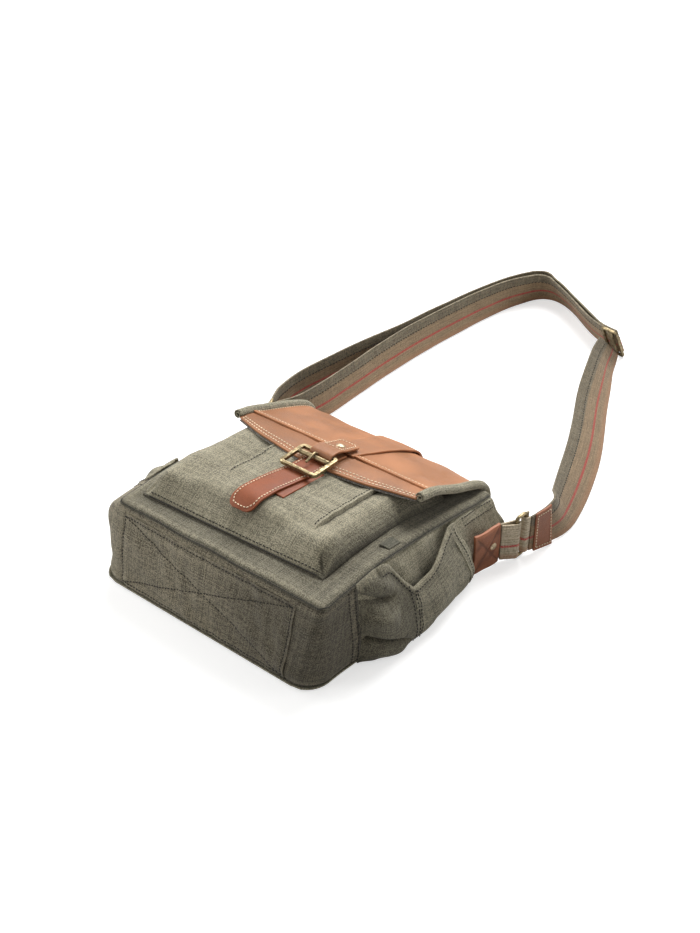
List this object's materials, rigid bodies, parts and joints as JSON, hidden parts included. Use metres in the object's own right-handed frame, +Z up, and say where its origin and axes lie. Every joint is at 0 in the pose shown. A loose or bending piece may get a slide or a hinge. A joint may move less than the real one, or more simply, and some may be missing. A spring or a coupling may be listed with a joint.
{
  "type": "canvas shoulder bag",
  "caption": "Small canvas shoulder bag with a leather flap, buckled closure strap, box front pocket, open side pockets and a webbing strap, lying on its back.",
  "frame": {"origin": "middle of the back panel's lower face, which lies on the floor", "axes": "+X to the bag's right as its front faces up, +Y from its base to its top, +Z up out of its front"},
  "size_m": [0.3308, 0.6901, 0.1113],
  "materials": {
    "canvas": "washed olive-grey canvas, plain weave",
    "base_canvas": "washed brown-grey canvas, plain weave",
    "lining": "grey cotton",
    "flap_leather": "tan waxed leather, satin",
    "strap_leather": "red-brown waxed leather, satin",
    "webbing": "khaki cotton webbing with a red centre line",
    "brass": "antique brass, satin"
  },
  "bodies": {
    "root": {"back_panel": "canvas", "front_panel": "canvas", "front_pocket": "canvas", "side_gusset_left": "canvas", "side_gusset_right": "canvas", "side_pocket_lower_left": "canvas", "side_pocket_lower_right": "canvas", "side_pocket_upper_left": "canvas", "side_pocket_upper_right": "canvas", "side_hem_left": "canvas", "side_hem_right": "canvas", "flap_roll_left": "canvas", "flap_roll_right": "canvas", "base_gusset": "base_canvas", "base_patch": "base_canvas", "flap_lining": "lining", "side_tag": "lining", "flap_leather": "flap_leather", "flap_front_band": "flap_leather", "flap_strap": "flap_leather", "buckle_tab": "flap_leather", "closure_strap": "strap_leather", "closure_backing": "strap_leather", "strap_anchor_left": "strap_leather", "strap_anchor_right": "strap_leather", "strap_patch": "strap_leather", "ring_loop_left": "webbing", "ring_loop_right": "webbing", "strap_end_loop": "webbing", "strap_right_run": "webbing", "strap_far_run": "webbing", "strap_fold": "webbing", "strap_near_run": "webbing", "buckle_frame": "brass", "buckle_roller": "brass", "buckle_prong": "brass", "buckle_rivet": "brass", "anchor_rivet_left": "brass", "anchor_rivet_right": "brass", "strap_ring_left": "brass", "strap_ring_right": "brass", "strap_slider": "brass"}
  },
  "joints": []
}
